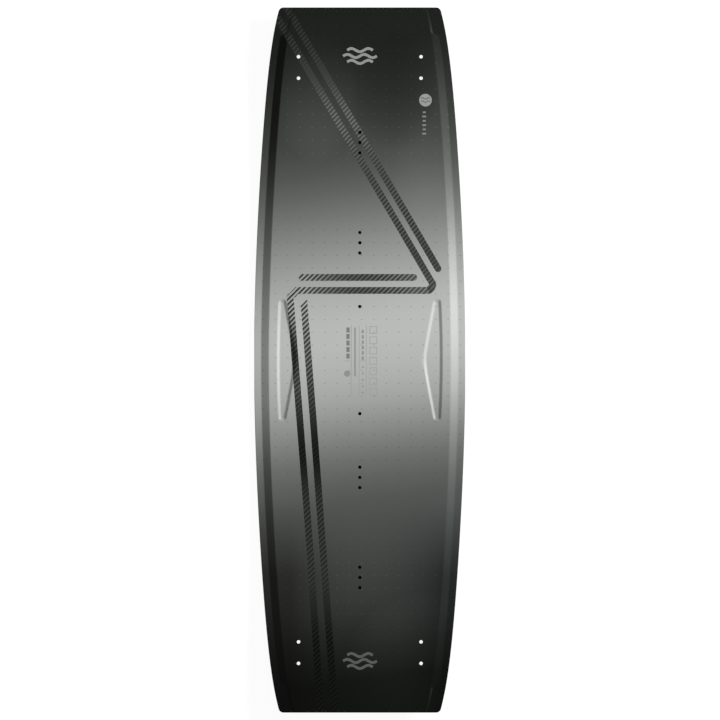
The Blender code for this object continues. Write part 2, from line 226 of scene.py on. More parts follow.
def deck_columns(y):
    """Places across half the deck at y, from the middle to the edge."""
    middle = [0.0, 0.005, 0.0165, 0.03, 0.045, 0.06, 0.075, 0.09, 0.1035, 0.115, 0.120, 0.125]
    inner, outer, edge = float(crease_in(y)), float(crease_out(y)), float(edge_half(y))
    beside = inner - (0.004 if inner > 0.135 else 0.001)
    start = middle[-1]
    grip = [start + (beside - start) * i / GRIP_COLUMNS for i in range(1, GRIP_COLUMNS + 1)]
    folds = (-0.09, -0.03, 0.03, 0.09, 0.3, 0.5, 0.7, 0.91, 0.97, 1.03, 1.09)
    band = [inner + (outer - inner) * fold for fold in folds]
    rail = [outer + (edge - EDGE_ROUND - outer) * share for share in (0.3, 0.6, 0.85, 1.0)]
    return middle + grip + band + rail + rim_columns(edge)


def sheet_mesh(columns, height, holes, thickness, round_edge):
    """A sheet over the whole board with holes, as a bmesh. height(x, y) is its outer face,
    and a negative thickness goes up from it."""
    ys = drawn_rows()
    halves = np.array([columns(y) for y in ys])
    xs = np.concatenate([-halves[:, :0:-1], halves], axis=1)
    grid_y = np.repeat(ys[:, None], xs.shape[1], axis=1)
    z = height(xs, grid_y)
    if round_edge:
        from_side = edge_half(grid_y) - np.abs(xs)
        from_edge = np.minimum(from_side, HALF_LENGTH + 0.0004 - np.abs(grid_y))
        inside = np.clip(round_edge - from_edge, 0.0, round_edge)
        fall = round_edge - np.sqrt(round_edge**2 - inside**2)
        z = z - math.copysign(1, thickness) * EDGE_DROP * fall
    bm = bmesh.new()
    verts = [[bm.verts.new((x, y, height_here)) for x, height_here in zip(xs[i], z[i])]
             for i, y in enumerate(ys)]
    keep = np.ones((len(ys) - 1, xs.shape[1] - 1), bool)
    for hx, hy, _ in holes:
        in_x = (xs[:-1, :-1] > hx - CELL_REACH) & (xs[:-1, 1:] < hx + CELL_REACH)
        in_y = (ys[:-1, None] > hy - CELL_REACH) & (ys[1:, None] < hy + CELL_REACH)
        keep &= ~(in_x & in_y)
    for i, j in np.argwhere(keep):
        bm.faces.new((verts[i][j], verts[i][j + 1], verts[i + 1][j + 1], verts[i + 1][j]))
    for hx, hy, radius in holes:
        fill_round(bm, near_ring(verts, xs, ys, hx, hy), hx, hy, radius, height)
    bmesh.ops.delete(bm, geom=[v for v in bm.verts if not v.link_faces], context="VERTS")
    thicken(bm, thickness)
    return bm


def near_ring(verts, xs, ys, hx, hy):
    """The grid's corners round one hole's cell, in order."""
    rows = [i for i, y in enumerate(ys) if abs(y - hy) < CELL_REACH]
    cols = [j for j, x in enumerate(xs[rows[0]]) if abs(x - hx) < CELL_REACH]
    low, high, left, right = rows[0], rows[-1], cols[0], cols[-1]
    ring = [verts[low][j] for j in range(left, right)]
    ring += [verts[i][right] for i in range(low, high)]
    ring += [verts[high][j] for j in range(right, left, -1)]
    ring += [verts[i][left] for i in range(high, low, -1)]
    return ring


def fill_round(bm, ring, hx, hy, radius, height):
    """Fills from a square ring of corners to a round hole."""
    dense = []
    for a, b in zip(ring, ring[1:] + ring[:1]):
        steps = max(1, round((b.co - a.co).length / RING_STEP))
        dense.append((a.co.x, a.co.y, a))
        for k in range(1, steps):
            x = a.co.x + (b.co.x - a.co.x) * k / steps
            dense.append((x, a.co.y + (b.co.y - a.co.y) * k / steps, None))
    outer = [v for _, _, v in dense]
    rims = []
    for share in RING_SHARES:
        rim = []
        for px, py, _ in dense:
            turn = math.atan2(py - hy, px - hx)
            cx, cy = hx + radius * math.cos(turn), hy + radius * math.sin(turn)
            qx, qy = px + (cx - px) * share, py + (cy - py) * share
            rim.append(bm.verts.new((qx, qy, float(height(qx, qy)))))
        rims.append(rim)
    first = rims[0]
    for k in range(len(dense)):
        n = (k + 1) % len(dense)
        for low, high in zip(rims, rims[1:]):
            bm.faces.new((low[k], low[n], high[n], high[k]))
    starts = [k for k, v in enumerate(outer) if v is not None]
    for s, e in zip(starts, starts[1:] + [starts[0] + len(dense)]):
        inner = [first[k % len(dense)] for k in range(s, e + 1)]
        bm.faces.new([outer[e % len(dense)], outer[s], *inner])


def thicken(bm, thickness):
    """Gives an open sheet a second face, down by thickness, and walls round its borders."""
    faces = list(bm.faces)
    twin = {v: bm.verts.new((v.co.x, v.co.y, v.co.z - thickness)) for v in list(bm.verts)}
    borders = [e for e in bm.edges if len(e.link_faces) == 1]
    walls = [(e.verts[0], e.verts[1]) for e in borders]
    for f in faces:
        bm.faces.new([twin[v] for v in reversed(f.verts)])
    for a, b in walls:
        bm.faces.new((a, b, twin[b], twin[a]))


def fill_tube(bm, rows):
    """Faces along a run of closed rings of corners, with both ends shut."""
    count = len(rows[0])
    for here, ahead in zip(rows, rows[1:]):
        for i in range(count):
            j = (i + 1) % count
            bm.faces.new((here[i], here[j], ahead[j], ahead[i]))
    bm.faces.new(rows[0][::-1])
    bm.faces.new(rows[-1])


# ---- Node tools ----------------------------------------------------------------------
def srgb(value):
    """One 0-255 display value as linear light."""
    c = value / 255
    return c / 12.92 if c <= 0.04045 else ((c + 0.055) / 1.055) ** 2.4


def colour(r, g, b):
    return (srgb(r), srgb(g), srgb(b), 1.0)


def grey(value):
    return (value, value, value, 1.0)


SPAN = 0.74  # what a ramp covers to each side of the middle


def place_of(y):
    """A place along the board, as a ramp position."""
    return (y + SPAN) / (2 * SPAN)


class Shade:
    """A material's node tree with a few short ways to add nodes."""

    def __init__(self, name, roughness=0.4, specular=0.5, metallic=0.0, coat=0.0):
        self.material = bpy.data.materials.new(name)
        self.material.use_nodes = True
        self.tree = self.material.node_tree
        self.bsdf = self.tree.nodes["Principled BSDF"]
        self.bsdf.inputs["Roughness"].default_value = roughness
        self.bsdf.inputs["Specular IOR Level"].default_value = specular
        self.bsdf.inputs["Metallic"].default_value = metallic
        self.bsdf.inputs["Coat Weight"].default_value = coat
        coords = self.tree.nodes.new("ShaderNodeTexCoord")
        self.coords = coords.outputs["Object"]
        split = self.tree.nodes.new("ShaderNodeSeparateXYZ")
        self.tree.links.new(self.coords, split.inputs[0])
        self.x, self.y, self.z = split.outputs

    def link(self, value, socket):
        if isinstance(value, (int, float, tuple)):
            socket.default_value = value
        else:
            self.tree.links.new(value, socket)

    def math(self, operation, a, b=0.0, c=0.0, clamp=False):
        node = self.tree.nodes.new("ShaderNodeMath")
        node.operation = operation
        node.use_clamp = clamp
        for value, socket in zip((a, b, c), node.inputs):
            self.link(value, socket)
        return node.outputs[0]

    def ramp(self, factor, stops, interpolation="LINEAR"):
        node = self.tree.nodes.new("ShaderNodeValToRGB")
        node.color_ramp.interpolation = interpolation
        elements = node.color_ramp.elements
        while len(elements) < len(stops):
            elements.new(0.5)
        for element, (place, rgba) in zip(elements, sorted(stops)):
            element.position = place
            element.color = rgba
        self.link(factor, node.inputs[0])
        return node.outputs[0]

    def mix(self, factor, a, b, blend="MIX"):
        node = self.tree.nodes.new("ShaderNodeMix")
        node.data_type = "RGBA"
        node.blend_type = blend
        for value, number in ((factor, 0), (a, 6), (b, 7)):
            self.link(value, node.inputs[number])
        return node.outputs[2]

    def times(self, a, b):
        return self.mix(1.0, a, b, "MULTIPLY")

    def spot(self, axis, centre, reach, clamp=False):
        """The squared distance from centre, 1 at reach."""
        off = self.math("SUBTRACT", axis, centre)
        return self.math("POWER", self.math("MULTIPLY", off, 1 / reach), 2.0, clamp=clamp)

    def place(self, axis):
        """A place along the board, as a ramp position."""
        return self.math("MULTIPLY_ADD", axis, 1 / (2 * SPAN), 0.5)

    def levels(self, factor, stops):
        """A ramp of greys whose stops are places in metres."""
        return self.ramp(factor, [(place_of(y), grey(v)) for y, v in stops])

    def noise(self, scale, detail=3.0, roughness=0.5, stretch=None):
        node = self.tree.nodes.new("ShaderNodeTexNoise")
        node.inputs["Scale"].default_value = scale
        node.inputs["Detail"].default_value = detail
        node.inputs["Roughness"].default_value = roughness
        self.tree.links.new(self.stretched(stretch), node.inputs["Vector"])
        return node.outputs["Fac"]

    def stretched(self, stretch):
        if stretch is None:
            return self.coords
        node = self.tree.nodes.new("ShaderNodeMapping")
        node.inputs["Scale"].default_value = stretch
        self.tree.links.new(self.coords, node.inputs["Vector"])
        return node.outputs[0]

    def scaled(self, value, low, high):
        """A 0-1 value carried to the range low to high."""
        return self.math("MULTIPLY_ADD", value, high - low, low)

    def bump(self, height, distance, strength=1.0):
        node = self.tree.nodes.new("ShaderNodeBump")
        node.inputs["Strength"].default_value = strength
        node.inputs["Distance"].default_value = distance
        self.link(height, node.inputs["Height"])
        self.tree.links.new(node.outputs[0], self.bsdf.inputs["Normal"])

    def set(self, name, value):
        self.link(value, self.bsdf.inputs[name])


# ---- The printed deck ----------------------------------------------------------------
def greys(*stops):
    """Places with grey levels, as tones with the print's faint green cast."""
    return tuple((y, (max(g - 2, 1), g, max(g - 3, 1))) for y, g in stops)


# shade of the print along the board: place from the tail to the nose, and display level
DECK_TONES = greys(
    (-0.690, 20), (-0.626, 21), (-0.568, 33), (-0.529, 43), (-0.470, 58), (-0.411, 67),
    (-0.362, 74), (-0.313, 81), (-0.274, 87), (-0.235, 98), (-0.196, 112), (-0.166, 126),
    (-0.137, 140), (-0.108, 153), (-0.078, 166), (-0.039, 177), (0.000, 184), (0.039, 188),
    (0.078, 187), (0.125, 178), (0.176, 163), (0.206, 152), (0.255, 133), (0.294, 117),
    (0.333, 101), (0.372, 87), (0.421, 73), (0.470, 63), (0.519, 53), (0.568, 43),
    (0.617, 35), (0.690, 33),
)
TILT = 0.13  # how much the bands of shade lean
SHEEN_OFFSET, DARKEST = 0.0030, 0.0006  # light that the sheen adds, taken off the print

# airbrushed patches: centre, reach across and along, and gain
CLOUDS = (
    (-0.088, 0.515, 0.085, 0.13, 1.45),
    (0.070, 0.530, 0.085, 0.12, 0.70),
    (0.120, 0.385, 0.06, 0.10, 1.10),
    (0.130, -0.600, 0.16, 0.15, 1.75),
)
SIDE_CENTRE, SIDE_REACH = 0.014, 0.150
SIDE_DARK = ((-0.60, 0.62), (-0.42, 0.60), (-0.28, 0.0))
COOL_TAIL, COOL_CAST = ((-0.45, 1.0), (-0.05, 0.0)), (0.93, 1.01, 1.045, 1.0)

# painted light and shade on each edge band, from the tail to the nose: how light the band is
# against the ground beside it. The left band slopes away from the lamp and gets painted shade. The
# right band slopes towards it and gets painted light, with some painted shade.
LEFT_BAND_PAINTED_SHADE = (
    (-0.60, 0.60), (-0.509, 0.534), (-0.43, 0.465), (-0.352, 0.527), (-0.274, 0.57),
    (-0.196, 0.617), (-0.137, 0.676), (-0.078, 0.728), (0.0, 0.728), (0.078, 0.676),
    (0.215, 0.59), (0.284, 0.55), (0.362, 0.397), (0.43, 0.225), (0.49, 0.169), (0.548, 0.209),
)
RIGHT_BAND_PAINTED_LIGHT = (
    (-0.60, 1.0), (-0.509, 1.0), (-0.43, 0.92), (-0.352, 0.86), (-0.274, 0.90), (-0.196, 1.0),
    (-0.137, 0.96), (-0.078, 0.95), (0.0, 0.96), (0.078, 1.0), (0.215, 1.09), (0.362, 1.10),
    (0.43, 1.18), (0.49, 1.32), (0.548, 1.34),
)
RIGHT_GAIN = 2.0  # a ramp holds no level over 1
RAIL_LEFT, RAIL_RIGHT = 0.88, 1.0

# the dashes' grid, across and along: pitch and shift in metres, reach of a dash in mm
DASH_GRID = ((0.0242, 0.0037, 1.9), (0.0251, 0.0044, 1.1))
DASH_CHANGE = (
    (-0.42, 0.75), (-0.30, 0.5), (-0.18, 0.36), (0.24, 0.36), (0.34, 0.5), (0.46, 0.80),
)


def tone_stops(tones):
    """Tones as ramp stops, less the light that the sheen adds."""
    stops = []
    for y, rgb in tones:
        lit = tuple(max(srgb(c) - SHEEN_OFFSET, DARKEST) for c in rgb)
        stops.append((place_of(y), lit + (1.0,)))
    return stops


def ground(s):
    """The deck's print, light at the middle and dark at the tips, with painted shade on the left
    edge band and painted light on the right one.
    """
    leaning = s.math("MULTIPLY_ADD", s.x, -TILT, s.y)
    shade = s.ramp(s.place(leaning), tone_stops(DECK_TONES))
    along = s.place(s.y)
    side = s.spot(s.x, SIDE_CENTRE, SIDE_REACH, clamp=True)
    tail = s.levels(along, SIDE_DARK)
    shade = s.mix(s.math("MULTIPLY", side, tail), shade, grey(0.0))
    for x, y, reach_x, reach_y, gain in CLOUDS:
        off = s.math("ADD", s.spot(s.x, x, reach_x), s.spot(s.y, y, reach_y))
        near = s.math("SUBTRACT", 1.0, off, clamp=True)
        shade = s.mix(near, shade, s.times(shade, grey(gain)))
    # a cooler cast towards the tail's right side
    to_right = s.math("MULTIPLY_ADD", s.x, 2.4, 0.5)
    to_right = s.ramp(to_right, [(0.45, grey(0.0)), (0.9, grey(1.0))])
    cool = s.math("MULTIPLY", s.levels(along, COOL_TAIL), to_right)
    shade = s.mix(cool, shade, s.times(shade, COOL_CAST))
    return with_bands(s, shade, along)


def with_bands(s, shade, along):
    """Painted shade on the left edge band, painted light on the right one, and the rails' levels,
    by the distance in from the outline.
    """
    t = s.math("MULTIPLY", s.math("ABSOLUTE", s.y), 1 / HALF_LENGTH)
    sidecut = s.math("MULTIPLY", s.math("POWER", t, SIDECUT_POWER), SIDECUT)
    pull = s.math("MULTIPLY", s.math("POWER", t, TIP_PULL_POWER), TIP_PULL)
    half = s.math("SUBTRACT", s.math("SUBTRACT", WIDTH / 2, sidecut), pull)
    tips = s.ramp(s.math("MULTIPLY", t, 0.9), [(0.825, grey(0.0)), (0.833, grey(1.0))])
    # painted shade for the left band and painted light for the right band, along the board
    left_band_painted_shade = s.levels(along, LEFT_BAND_PAINTED_SHADE)
    right_band_painted_light = s.levels(along, [(y, v / RIGHT_GAIN) for y, v in RIGHT_BAND_PAINTED_LIGHT])
    reach = RAIL_WIDTH + BAND_WIDTH
    scale = 20.0  # a ramp covers 50 mm
    for distance, rail, depth, gain in (
        (s.math("ADD", half, s.x), RAIL_LEFT, left_band_painted_shade, 1.0),
        (s.math("SUBTRACT", half, s.x), RAIL_RIGHT, right_band_painted_light, RIGHT_GAIN),
    ):
        across = s.math("MULTIPLY", distance, scale)
        on_band = s.ramp(across, [
            (0.0, grey(0.0)), (scale * (RAIL_WIDTH - 0.0012), grey(0.0)),
            (scale * (RAIL_WIDTH + 0.0008), grey(1.0)), (scale * (reach - 0.0012), grey(1.0)),
            (scale * (reach + 0.0010), grey(0.0)),
        ])
        on_rail = s.ramp(across, [
            (scale * (RAIL_WIDTH - 0.001), grey(1.0)), (scale * (RAIL_WIDTH + 0.001), grey(0.0)),
        ])
        on_band = s.math("MULTIPLY", on_band, s.math("SUBTRACT", 1.0, tips))
        # factor is the band's painted shade on the left and its painted light on the right
        factor = s.times(depth, grey(gain))
        shade = s.mix(on_band, shade, s.times(shade, factor))
        shade = s.mix(on_rail, shade, s.times(shade, grey(rail)))
    return shade


def with_dashes(s, shade):
    """Faint dashes on a grid: darker on the light ground and lighter on the dark."""
    offs = []
    for axis, (pitch, shift, reach) in zip((s.x, s.y), DASH_GRID):
        cell = s.math("MULTIPLY_ADD", axis, 1 / pitch, 0.5 - shift / pitch)
        off = s.math("SUBTRACT", s.math("FRACT", cell), 0.5)
        offs.append(s.math("POWER", s.math("MULTIPLY", off, pitch * 1000 / reach), 2.0))
    spread = s.math("MULTIPLY", s.math("ADD", *offs), 0.4)
    dash = s.ramp(spread, [(0.26, grey(1.0)), (0.52, grey(0.0))])
    change = s.times(s.levels(s.place(s.y), DASH_CHANGE), grey(2.0))
    return s.mix(dash, shade, s.times(shade, change))


def worn_print(s, shade, roughness=(0.27, 0.37)):
    """Finishes a print: fine grain, hairline scuffs and an uneven satin sheen."""
    grain = s.noise(1100.0, 2.0, 0.6)
    shade = s.times(shade, s.ramp(grain, [(0.3, grey(0.95)), (0.7, grey(1.05))]))
    scuff = s.noise(60.0, 5.0, 0.7, (1.0, 0.10, 1.0))
    hair = s.ramp(scuff, [(0.685, grey(0.0)), (0.72, grey(0.10))])
    shade = s.mix(hair, shade, s.times(shade, grey(1.5)))
    s.set("Base Color", shade)
    soft = s.noise(11.0, 4.0, 0.6)
    s.set("Roughness", s.scaled(soft, *roughness))
    s.bump(s.noise(1500.0, 2.0, 0.5), 0.00003, 0.30)
    return s.material


PRINT_SPECULAR = 0.20


def deck_material():
    s = Shade("deck_print", specular=PRINT_SPECULAR)
    return worn_print(s, with_dashes(s, ground(s)))


def base_material():
    """The underside: satin black with a soft pale middle and fine sliding scuffs."""
    s = Shade("base_print", specular=0.35)
    along = s.math("MULTIPLY_ADD", s.math("ABSOLUTE", s.y), 1 / SPAN, 0.0)
    shade = s.ramp(along, [
        (0.0, colour(58, 61, 60)), (0.35, colour(40, 42, 42)), (0.9, colour(20, 21, 22)),
    ])
    return worn_print(s, shade, (0.30, 0.50))


ALL_INK = ((-0.7, 1.0), (0.7, 1.0))


def ink_material(name, tones, along="y", blend=ALL_INK):
    """Ink whose tone runs along x or y. blend gives the ink's share over the ground's shade."""
    s = Shade(name, specular=PRINT_SPECULAR)
    factor = s.place(s.y if along == "y" else s.x)
    share = s.levels(factor, blend)
    return worn_print(s, s.mix(share, ground(s), s.ramp(factor, tone_stops(tones))))


deck_print, base_print = deck_material(), base_material()


def abs_plastic():
    s = Shade("abs_edge", roughness=0.45, specular=0.3)
    grain = s.noise(420.0, 3.0, 0.6)
    s.set("Base Color", s.ramp(grain, [(0.3, colour(22, 23, 23)), (0.7, colour(33, 34, 34))]))
    lines = s.noise(60.0, 2.0, 0.5, (1.0, 0.05, 14.0))
    s.set("Roughness", s.scaled(lines, 0.36, 0.58))
    s.bump(lines, 0.00006, 0.5)
    return s.material


def glass_cloth():
    s = Shade("glass_cloth", roughness=0.35, specular=0.4)
    turns = 3200.0  # a thread every 2 mm
    warp = s.math("SINE", s.math("MULTIPLY", s.x, turns))
    weft = s.math("SINE", s.math("MULTIPLY", s.y, turns))
    weave = s.math("MULTIPLY_ADD", s.math("MULTIPLY", warp, weft), 0.5, 0.5)
    s.set("Base Color", s.ramp(weave, [(0.0, colour(150, 156, 140)), (1.0, colour(196, 200, 184))]))
    s.set("Roughness", s.scaled(weave, 0.28, 0.42))
    s.bump(weave, 0.00004, 0.5)
    return s.material


def wood():
    s = Shade("paulownia", roughness=0.6, specular=0.3)
    rings = s.noise(70.0, 4.0, 0.6, (1.0, 0.04, 1.0))
    fibre = s.noise(900.0, 2.0, 0.5, (1.0, 0.03, 1.0))
    shade = s.ramp(rings, [
        (0.30, colour(196, 162, 116)), (0.50, colour(216, 186, 142)), (0.70, colour(180, 144, 98)),
    ])
    shade = s.mix(s.scaled(fibre, 0.0, 0.35), shade, colour(158, 124, 84))
    s.set("Base Color", shade)
    s.set("Roughness", s.scaled(fibre, 0.52, 0.7))
    s.bump(fibre, 0.00008, 0.5)
    return s.material


def block_plastic():
    s = Shade("block_plastic", roughness=0.5, specular=0.4)
    cells = s.noise(700.0, 3.0, 0.7)
    s.set("Base Color", s.ramp(cells, [(0.3, colour(190, 180, 152)), (0.7, colour(214, 206, 182))]))
    s.set("Roughness", s.scaled(cells, 0.45, 0.6))
    s.bump(cells, 0.00006, 0.5)
    return s.material


def steel():
    """Turned steel, with painted shade in its bore, which is near black and not metallic. An
    insert's origin is on its axis.
    """
    s = Shade("stainless_steel")
    turned = s.noise(300.0, 3.0, 0.6, (1.0, 1.0, 8.0))
    radius = s.math("SQRT", s.math("ADD", s.math("POWER", s.x, 2.0), s.math("POWER", s.y, 2.0)))
    # 1 on the flange's face, 0 inside the bore, where the painted shade goes
    outside_bore = s.ramp(s.math("MULTIPLY", radius, 100.0), [(0.345, grey(0.0)), (0.385, grey(1.0))])
    bright = s.ramp(turned, [(0.3, colour(176, 176, 172)), (0.7, colour(206, 206, 202))])
    # painted shade: the bore's near-black colour
    painted_bore_shade = s.ramp(turned, [(0.3, colour(7, 8, 7)), (0.7, colour(14, 15, 14))])
    s.set("Base Color", s.mix(outside_bore, painted_bore_shade, bright))
    # the bore's painted shade is also not metallic, with little sheen
    s.set("Metallic", outside_bore)
    s.set("Specular IOR Level", s.scaled(outside_bore, 0.08, 0.5))
    s.set("Roughness", s.scaled(turned, 0.28, 0.46))
    return s.material


edge_plastic, cloth, timber = abs_plastic(), glass_cloth(), wood()
block_mix, metal = block_plastic(), steel()


# ---- Carried-over CAD nodes ----------------------------------------------------------
def cad_material(name):
    if "block" in name:
        return block_mix
    if name.startswith("stringer"):
        return timber
    return cloth if name.endswith("laminate") else edge_plastic


for name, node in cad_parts.items():
    if "insert" not in name:
        for slot in node.material_slots:
            slot.material = cad_material(name)

# ---- Topsheet and base sheet ---------------------------------------------------------
topsheet = make_piece(
    "topsheet_skin", sheet_mesh(deck_columns, deck_z, all_holes, SHEET, EDGE_ROUND), deck_print
)
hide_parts("topsheet")


def base_columns(y):
    edge = float(edge_half(y))
    middle = [0.0, 0.005, 0.02, 0.04, 0.06, 0.08, 0.1, 0.115, 0.120, 0.125]
    start = middle[-1]
    beside = edge - EDGE_ROUND
    rest = [start + (beside - start) * i / BASE_COLUMNS for i in range(1, BASE_COLUMNS + 1)]
    return middle + rest + rim_columns(edge)


base_sheet = make_piece(
    "base_skin", sheet_mesh(base_columns, base_z, through_holes, -SHEET, EDGE_ROUND), base_print
)
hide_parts("base_sheet")


# ---- The layers that follow the grip recesses ----------------------------------------
def laminate_z(x, y):
    return deck_z(x, y) - SHEET - GAP


laminate = make_piece(
    "deck_cloth", sheet_mesh(deck_columns, laminate_z, all_holes, LAMINATE, 0), cloth
)
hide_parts("deck_laminate")


BAR_ROW_STEP, BAR_COLUMNS = 0.003, 40
BAR_3_FROM, BAR_3_TO, BAR_4_FROM = 0.1003, 0.140, 0.1403


def core_bar(node_name, side, near, far):
    """A stringer between near and far(y) from the middle, left out beside the fin blocks."""
    node_low, node_high = (Vector(corner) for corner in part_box(node_name))
    stretches, start = [], node_low.y
    if near < FIN_X < far(0.0):
        side_name = "left" if side < 0 else "right"
        for end in ("tail", "nose"):
            block_low, block_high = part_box(f"fin_block_{end}_{side_name}")
            stretches.append((start, block_low.y - GAP))
            start = block_high.y + GAP
    stretches.append((start, node_high.y))
    bm = bmesh.new()
    for y_low, y_high in stretches:
        rows = []
        for y in np.linspace(y_low, y_high, max(2, round((y_high - y_low) / BAR_ROW_STEP))):
            xs = side * np.linspace(near, far(y), BAR_COLUMNS)
            ys = np.full_like(xs, y)
            top, low = deck_z(xs, ys) - CORE_DEPTH, base_z(xs, ys) + CORE_DEPTH
            ring = [(xs[0], y, low[0]), (xs[-1], y, low[-1])]
            ring += [(x, y, z) for x, z in zip(xs[::-1], top[::-1])]
            rows.append([bm.verts.new(p) for p in ring])
        fill_tube(bm, rows)
    piece = make_piece(f"{node_name}_bar", bm, timber)
    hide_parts(node_name)


def beside_rail(y):
    return float(waist_half(y)) - RAIL_WIDTH - GAP


for side_name, side in (("left", -1), ("right", 1)):
    core_bar(f"stringer_{side_name}_3", side, BAR_3_FROM, lambda y: BAR_3_TO)
    core_bar(f"stringer_{side_name}_4", side, BAR_4_FROM, beside_rail)


# ---- Threaded inserts ----------------------------------------------------------------
BORE, THREAD_DEPTH, THREAD_PITCH = 0.0031, 0.0004, 0.0010
BODY_RADIUS, FLANGE_RADIUS, FLANGE_HEIGHT, INSERT_HEIGHT = 0.0045, 0.0062, 0.0010, 0.0050
THREAD_FROM, THREAD_CLEARANCE, BORE_FLOOR, CHAMFER = 0.0005, 0.0007, 0.0003, 0.0002
INSERT_SIDES = 32


def insert_profile():
    """Radius and height round half a section of an insert, from the floor of its bore."""
    threads = []
    depth = THREAD_FROM
    while depth < INSERT_HEIGHT - THREAD_CLEARANCE:
        threads += [(BORE - THREAD_DEPTH, -depth), (BORE, -depth - THREAD_PITCH / 2)]
        depth += THREAD_PITCH
    floor = BORE_FLOOR - INSERT_HEIGHT
    return [
        (0.0, floor), (BORE, floor), *reversed(threads), (BORE + CHAMFER, 0.0),
        (FLANGE_RADIUS - CHAMFER, 0.0), (FLANGE_RADIUS, -CHAMFER), (FLANGE_RADIUS, -FLANGE_HEIGHT),
        (BODY_RADIUS, -FLANGE_HEIGHT), (BODY_RADIUS, -INSERT_HEIGHT), (0.0, -INSERT_HEIGHT),
    ]


def insert_piece(node_name):
    """A flanged bush with a threaded blind bore, its origin on its axis at the flange's top."""
    node_low, node_high = (Vector(corner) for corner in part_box(node_name))
    middle_y = 0.5 * (node_low.y + node_high.y)
    bm = bmesh.new()
    turns = [2 * math.pi * i / INSERT_SIDES for i in range(INSERT_SIDES)]
    rings = []
    for radius, z in insert_profile():
        if radius == 0.0:
            rings.append([bm.verts.new((0.0, 0.0, z))] * INSERT_SIDES)
            continue
        rings.append([bm.verts.new((radius * math.cos(t), radius * math.sin(t), z)) for t in turns])
    for ring, following in zip(rings, rings[1:]):
        for i in range(INSERT_SIDES):
            j = (i + 1) % INSERT_SIDES
            corners = []
            for v in (ring[i], following[i], following[j], ring[j]):
                if v not in corners:
                    corners.append(v)
            bm.faces.new(corners)
    piece = make_piece(f"{node_name}_turned", bm, metal)
    piece.location = (0.0, middle_y, node_high.z)
    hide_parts(node_name)


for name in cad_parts:
    if "insert" in name:
        insert_piece(name)


# ---- Rails ---------------------------------------------------------------------------
RAIL_CHAMFER, RAIL_CHAMFER_IN, RAIL_ROWS = 0.0004, 0.0003, 261


def rail_piece(name, pairs):
    """A rail through (outer point, inner point) pairs in plan, between the two laminates."""
    bm = bmesh.new()
    rows = []
    for (ox, oy), (ix, iy) in pairs:
        top_out = float(deck_z(ox, oy)) - CORE_DEPTH
        low_out = float(base_z(ox, oy)) + CORE_DEPTH
        top_in = float(deck_z(ix, iy)) - CORE_DEPTH
        low_in = float(base_z(ix, iy)) + CORE_DEPTH
        shift = Vector((ix - ox, iy - oy)).normalized() * RAIL_CHAMFER_IN
        cut_x, cut_y = ox + shift.x, oy + shift.y
        ring = [
            (ix, iy, low_in), (ix, iy, top_in), (cut_x, cut_y, top_out),
            (ox, oy, top_out - RAIL_CHAMFER), (ox, oy, 0.5 * (top_out + low_out)),
            (ox, oy, low_out + RAIL_CHAMFER), (cut_x, cut_y, low_out),
        ]
        rows.append([bm.verts.new(p) for p in ring])
    fill_tube(bm, rows)
    piece = make_piece(f"{name}_edge", bm, edge_plastic)
    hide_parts(name)


for side_name, side in (("left", -1), ("right", 1)):
    ys = np.linspace(-TIP_RAIL_FROM, TIP_RAIL_FROM, RAIL_ROWS)
    rail_piece(f"rail_{side_name}", [
        ((side * float(edge_half(y)), y), (side * float(waist_half(y) - RAIL_WIDTH), y)) for y in ys
    ])

for end_name, end in (("nose", 1), ("tail", -1)):
    half = []
    inner_corner = (float(waist_half(0.676)) - RAIL_WIDTH, HALF_LENGTH - RAIL_WIDTH)
    for y in np.linspace(TIP_RAIL_FROM + GAP, 0.674, 7):
        half.append(((float(edge_half(y)), y), (float(waist_half(y)) - RAIL_WIDTH, y)))
    for turn in np.linspace(CORNER_LEAN, math.pi / 2, 10):
        outer_x = CORNER_X + CORNER_RADIUS * math.cos(turn)
        outer_y = CORNER_Y + CORNER_RADIUS * math.sin(turn)
        half.append(((outer_x, outer_y), inner_corner))
    for x in np.linspace(CORNER_X - 0.004, 0.0, 12):
        half.append(((x, HALF_LENGTH), (min(x, inner_corner[0]), HALF_LENGTH - RAIL_WIDTH)))
    other = [((-o[0], o[1]), (-i[0], i[1])) for o, i in reversed(half[:-1])]
    pairs = [((o[0], end * o[1]), (i[0], end * i[1])) for o, i in half + other]
    rail_piece(f"rail_{end_name}", pairs)


# ---- Printed marks: thin films of ink that follow the deck ---------------------------
TILE, GRIP_TILE, HOLE_TILE, MIN_TILE_AREA = 0.004, 0.001, 0.0005, 1e-9
INK_SIDE_MARGIN, INK_END_MARGIN = 0.0012, 0.0008
FINE_ROUND_HOLE, HOLE_MARGIN = 0.005, 0.0003
BY_GRIP_FROM, BY_GRIP_TO, BY_GRIP_PAST = 0.119, 0.166, 0.004
FILL_LIFT, BAR_LIFT, GRIP_LIFT = 0.00003, 0.00006, 0.00005  # GRIP_LIFT comes on top
MARK_LIFT, MARK_LIFT_OVER, MARK_LIFT_TOP = 0.00004, 0.00005, 0.00007


def clipped(poly, nx, ny, limit):
    """The part of a convex polygon where nx * x + ny * y <= limit."""
    out = []
    for (ax, ay), (bx, by) in zip(poly, poly[1:] + poly[:1]):
        a, b = nx * ax + ny * ay - limit, nx * bx + ny * by - limit
        if a <= 0:
            out.append((ax, ay))
        if (a < 0 < b) or (b < 0 < a):
            t = a / (a - b)
            out.append((ax + (bx - ax) * t, ay + (by - ay) * t))
    return out


